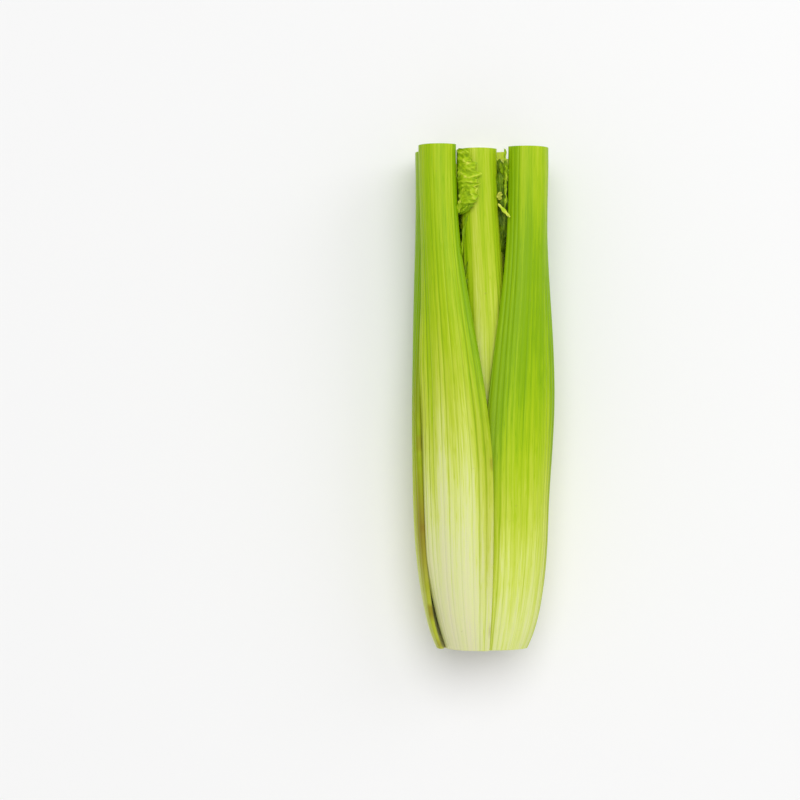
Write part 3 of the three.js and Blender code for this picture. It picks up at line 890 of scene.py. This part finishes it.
def stalk_skin(name, deep, roughness):
    """A stalk's waxy skin: cream low down through yellow-green to green, deeper green in the valleys
    between its ribs, partly their own green and partly painted shade, streaked by fine fibres, browned
    at its lower margins, on stalk_left partly as painted shade, and specked here and there."""
    material, tree, shader = nodes_of(name)
    fibres = placed(tree, FIBRES, Spacing=2.2)
    specks = placed(tree, SPECKS, Scale=260.0, Cover=0.06)
    groove = attribute(tree, "groove")
    streaks = number(tree, "SUBTRACT", fibres.outputs["Streaks"], 0.5)
    green = scaled(tree, streaks, 0.7, attribute(tree, "green"))
    green = scaled(tree, fibres.outputs["Threads"], 0.09, green)
    # In the valleys between the ribs the skin turns greener, then darker: partly their real green,
    # partly painted shade in the grooves.
    green = number(tree, "ADD", green, number(tree, "MULTIPLY", groove, 0.16), clamp=True)
    colour = ramp(tree, green, SKIN_TONES + [(1.0, deep)])
    shade = number(tree, "MULTIPLY", groove, 0.45, clamp=True)
    colour = blend_colour(tree, shade, colour, VALLEY_GREEN_AND_SHADE)
    # Lower margins blend to olive brown: real browning, and on stalk_left painted shade as well.
    brown = number(tree, "MULTIPLY", attribute(tree, "brown"), 0.5, clamp=True)
    colour = blend_colour(tree, brown, colour, MARGIN_BROWN_AND_SHADE)
    scars = number(tree, "MULTIPLY", specks.outputs["Mask"], 0.35)
    colour = blend_colour(tree, scars, colour, SCAR_TAN)
    tree.links.new(scaled(tree, streaks, 0.3, roughness), shader.inputs["Roughness"])
    roughen(tree, shader, fibres.outputs["Height"], 0.35, 0.00035)
    set_shader(tree, shader, colour, Subsurface_Weight=0.12, Subsurface_Radius=(0.9, 1.0, 0.25),
               Subsurface_Scale=0.004, Specular_IOR_Level=0.14)
    return material


def cut_end(name, browning, light, dark, skin_rim):
    """A stalk's cut end: pale wet flesh between two tones, a rim under the skin, and a row of dots, one
    below each rib, where its strings were cut through. The UV gives the rib's number and the depth in
    mm."""
    material, tree, shader = nodes_of(name)
    place = add(tree, "ShaderNodeUVMap", uv_map="surface").outputs[0]
    split = add(tree, "ShaderNodeSeparateXYZ", {0: place})
    part = number(tree, "FRACT", split.outputs["X"])
    aside = number(tree, "MULTIPLY", number(tree, "SUBTRACT", part, 0.5), 2.2)
    below = number(tree, "SUBTRACT", split.outputs["Y"], 1.25)
    squares = scaled(tree, aside, aside, number(tree, "MULTIPLY", below, below))
    distance = number(tree, "SQRT", squares)
    dots = number(tree, "SUBTRACT", 1.0, number(tree, "MULTIPLY", distance, 2.0), clamp=True)
    rim = number(tree, "SUBTRACT", 1.0, number(tree, "MULTIPLY", split.outputs["Y"], 1.6), clamp=True)
    spot = object_place(tree)
    cells = cells_of(tree, spot, 2600.0)
    patches = noise(tree, spot, 120.0, 4.0)
    colour = blend_colour(tree, patches, light, dark)
    colour = blend_colour(tree, number(tree, "MULTIPLY", cells, 0.4, clamp=True), colour, dark)
    colour = blend_colour(tree, number(tree, "MULTIPLY", rim, 0.7), colour, skin_rim)
    faint = number(tree, "MULTIPLY", number(tree, "SUBTRACT", patches, 0.2), 1.4, clamp=True)
    colour = blend_colour(tree, number(tree, "MULTIPLY", dots, faint), colour, STRING_GREEN)
    over = number(tree, "SUBTRACT", patches, 0.62 - browning * 0.3)
    stain = number(tree, "MULTIPLY", over, 3.0 * browning, clamp=True)
    colour = blend_colour(tree, stain, colour, CUT_BROWN)
    roughen(tree, shader, cells, 0.5, 0.0002)
    set_shader(tree, shader, colour, Roughness=0.42, Subsurface_Weight=0.15,
               Subsurface_Radius=(0.9, 1.0, 0.3), Subsurface_Scale=0.004)
    return material


def crown_flesh():
    """The crown's cut face: cream flesh, paler in the feet of the inner stalks, with seams and cut
    strings, browned by air in patches."""
    material, tree, shader = nodes_of("crown_flesh")
    place = object_place(tree)
    patches = noise(tree, place, 95.0, 6.0)
    apart = number(tree, "MULTIPLY", cells_of(tree, place, 700.0), 3.2)
    bundles = number(tree, "SUBTRACT", 1.0, apart, clamp=True)
    colour = blend_colour(tree, attribute(tree, "green"), CROWN_CREAM, FOOT_CREAM)
    colour = blend_colour(tree, number(tree, "MULTIPLY", bundles, 0.25), colour, BUNDLE_TAN)
    seams = number(tree, "MULTIPLY", attribute(tree, "vein"), 0.5)
    colour = blend_colour(tree, seams, colour, SEAM_TAN)
    strings = number(tree, "MULTIPLY", attribute(tree, "groove"), 0.6)
    colour = blend_colour(tree, strings, colour, CROWN_STRING)
    over = number(tree, "SUBTRACT", patches, 0.5)
    stain = number(tree, "MULTIPLY", over, 2.2, clamp=True)
    colour = blend_colour(tree, stain, colour, CROWN_STAIN)
    edge = number(tree, "MULTIPLY", attribute(tree, "brown"), 0.8, clamp=True)
    colour = blend_colour(tree, edge, colour, CROWN_EDGE)
    roughen(tree, shader, noise(tree, place, 900.0, 4.0), 0.6, 0.0004)
    set_shader(tree, shader, colour, Roughness=0.6, Subsurface_Weight=0.1, Subsurface_Scale=0.003)
    return material


def leaf_blade():
    """A young leaf: from dark green deep in the head, which is painted shade, to bright yellow-green
    outside, yellower where a highlight is painted, lighter along its veins and on the painted highlights
    of a folded leaflet's crests, with a soft sheen."""
    material, tree, shader = nodes_of("leaf_blade")
    place = object_place(tree)
    patches = number(tree, "SUBTRACT", noise(tree, place, 300.0, 5.0), 0.5)
    colour = ramp(tree, scaled(tree, patches, 0.7, attribute(tree, "green")), LEAF_TONES)
    # Veins are lighter, and so are a folded leaflet's crests, as a painted highlight.
    vein = number(tree, "MULTIPLY", attribute(tree, "vein"), 0.4)
    colour = blend_colour(tree, vein, colour, LEAF_VEIN_AND_HIGHLIGHT)
    roughen(tree, shader, noise(tree, place, 2200.0, 3.0), 0.4, 0.0002)
    set_shader(tree, shader, colour, Roughness=0.42, Subsurface_Weight=0.08,
               Subsurface_Radius=(0.6, 1.0, 0.1), Subsurface_Scale=0.001, Specular_IOR_Level=0.2)
    return material


OUTER_SKIN = stalk_skin("outer_stalk_skin", rgb(134, 176, 0), 0.38)
INNER_SKIN = stalk_skin("inner_stalk_skin", rgb(146, 184, 6), 0.40)
FOOT_CUT = cut_end("foot_cut", 0.5, rgb(240, 234, 204), rgb(226, 222, 172), rgb(206, 214, 132))
TOP_CUT = cut_end("top_cut", 0.25, rgb(232, 232, 186), rgb(206, 218, 138), rgb(140, 178, 40))
LEAF = leaf_blade()

# The cells of an outer and of an inner stalk's surface: across, through its wall and along it.
OUTER_CELLS = (156, 12, 130)
INNER_CELLS = (108, 10, 110)

for index, (name, stalk) in enumerate(STALKS.items()):
    outer = stalk["share"] == 1.0
    skin = OUTER_SKIN if outer else INNER_SKIN
    surface = stalk_surface(stalk, 11 + 10 * index, *(OUTER_CELLS if outer else INNER_CELLS))
    make_piece("skin_of_" + name, [surface], [skin, FOOT_CUT, TOP_CUT], name)

for index, (name, shoot) in enumerate(SHOOTS.items()):
    make_piece("leaves_of_" + name, leafy_surfaces(name, shoot, index),
               [INNER_SKIN, FOOT_CUT, TOP_CUT, LEAF], name)

make_piece("cut_crown", [crown_surface(14, 360)], [crown_flesh()], "crown")


# Table, light and camera

def put(name, data):
    """A new object in the scene."""
    item = bpy.data.objects.new(name, data)
    bpy.context.scene.collection.objects.link(item)
    return item


def plain_table(half):
    """A pale matt floor that reaches half metres to each side."""
    mesh = bpy.data.meshes.new("pale_table")
    corners = [(-half, -half, 0), (half, -half, 0), (half, half, 0), (-half, half, 0)]
    mesh.from_pydata(corners, [], [(0, 1, 2, 3)])
    material, _, shader = nodes_of("pale_table")
    shader.inputs["Base Color"].default_value = (0.9, 0.9, 0.9, 1)
    shader.inputs["Roughness"].default_value = 0.9
    mesh.materials.append(material)
    put("pale_table", mesh)


def facing_origin(place):
    """The rotation that turns a light at a place, which shines down its own -Z, to the origin."""
    return (-Vector(place)).to_track_quat("-Z", "Y").to_euler()


def soft_light(place, size, power):
    """A square area light that faces the origin."""
    data = bpy.data.lights.new("side_box", "AREA")
    data.shape = "SQUARE"
    data.size = size
    data.energy = power
    light = put("side_box", data)
    light.location = place
    light.rotation_euler = facing_origin(place)


def soft_sun(place, spread, power):
    """A sun whose light comes from a place's direction, spread over an angle in degrees."""
    data = bpy.data.lights.new("window", "SUN")
    data.angle = math.radians(spread)
    data.energy = power
    put("window", data).rotation_euler = facing_origin(place)


plain_table(half=3.0)
soft_sun(place=(0.05, 0.40, 1.0), spread=50, power=1.65)
soft_light(place=(1.0, 0.6, 0.8), size=0.7, power=2.5)

world = bpy.data.worlds.new("studio")
world.use_nodes = True
background = world.node_tree.nodes["Background"]
background.inputs["Color"].default_value = (1, 1, 1, 1)
background.inputs["Strength"].default_value = 0.5
bpy.context.scene.world = world
bpy.context.scene.view_settings.view_transform = "Standard"

# The photograph looks straight down on the head, which lies right of the picture's middle. Its 800
# pixels span VIEW_WIDTH metres at the height of the head's front.
VIEW_WIDTH = 0.361
VIEW_MIDDLE = (-0.0372, -0.0011)
FRONT_HEIGHT = 0.036
LENS = 100.0
SENSOR = 36.0
camera_data = bpy.data.cameras.new("camera")
camera_data.lens = LENS
camera_data.sensor_width = SENSOR
camera = put("camera", camera_data)
camera.location = (*VIEW_MIDDLE, FRONT_HEIGHT + VIEW_WIDTH * LENS / SENSOR)
bpy.context.scene.camera = camera
